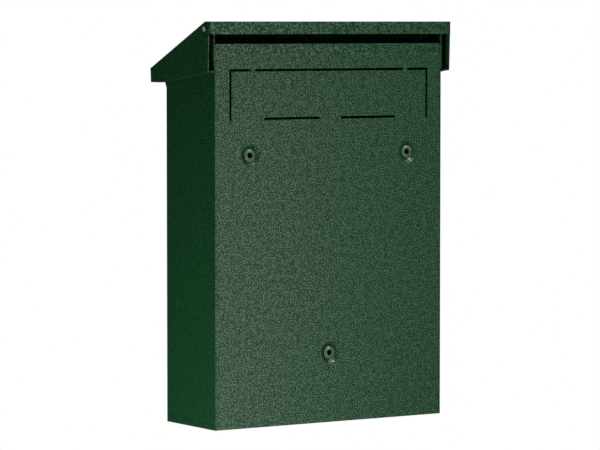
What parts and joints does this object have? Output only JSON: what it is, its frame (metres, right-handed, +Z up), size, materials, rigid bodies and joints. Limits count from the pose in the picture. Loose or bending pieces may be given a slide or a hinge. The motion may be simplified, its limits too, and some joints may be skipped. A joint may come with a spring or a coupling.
{
  "type": "wall mounted mailbox",
  "caption": "Slim wall mounted letter box of green hammer-finish sheet steel with a pitched lid hinged at the back and a lockable front door.",
  "frame": {"origin": "centre of the two upper wall fixings, on the plane of the back panel", "axes": "+Y points into the wall, +Z up, +X to the right of someone who faces the front of the box"},
  "size_m": [0.2908, 0.1129, 0.402],
  "materials": {
    "green_paint": "green hammer-finish powder coat, semi-gloss",
    "painted_pins": "painted over, worn bright on the crown",
    "black_rubber": "matt black rubber",
    "grey_rubber": "smooth dark grey rubber",
    "zinc_plate": "bright zinc plate",
    "chrome_plate": "nickel-chrome plate",
    "white_nylon": "natural nylon",
    "name_frame": "satin anodised",
    "card": "blank white card",
    "clear_window": "clear acrylic"
  },
  "bodies": {
    "box": {"body_shell": "green_paint", "back_panel": "green_paint", "bottom_pan": "green_paint", "left_hinge_ear": "green_paint", "right_hinge_ear": "green_paint", "fixing_grommets": "grey_rubber", "door_pivot_pins": "zinc_plate", "door_buffers": "black_rubber"},
    "lid": {"lid_shell": "green_paint", "lid_hinge_pins": "painted_pins", "lid_hinge_spacers": "white_nylon", "lid_pin_clips": "zinc_plate", "lid_buffers": "black_rubber"},
    "door": {"door_panel": "green_paint", "door_stiffener": "green_paint", "door_bushes": "white_nylon", "lock_barrel": "chrome_plate", "lock_gasket": "black_rubber", "lock_nut": "zinc_plate", "name_holder": "name_frame", "name_card": "card", "name_window": "clear_window", "name_rivets": "zinc_plate"},
    "lock": {"lock_plug": "chrome_plate", "lock_cam": "zinc_plate", "lock_cam_screw": "zinc_plate"}
  },
  "joints": [
    {"name": "lid_hinge", "type": "hinge", "parent": "box", "child": "lid", "pos_m": [0, -0.0038, 0.1246], "axis": [-1, 0, 0], "range_deg": [0, 24]},
    {"name": "door_hinge", "type": "hinge", "parent": "box", "child": "door", "pos_m": [-0.1144, -0.09, -0.104], "axis": [0, 0, -1], "range_deg": [0, 100]},
    {"name": "lock_turn", "type": "hinge", "parent": "door", "child": "lock", "pos_m": [0.09, -0.085, -0.07], "axis": [0, -1, 0], "range_deg": [0, 90]}
  ]
}
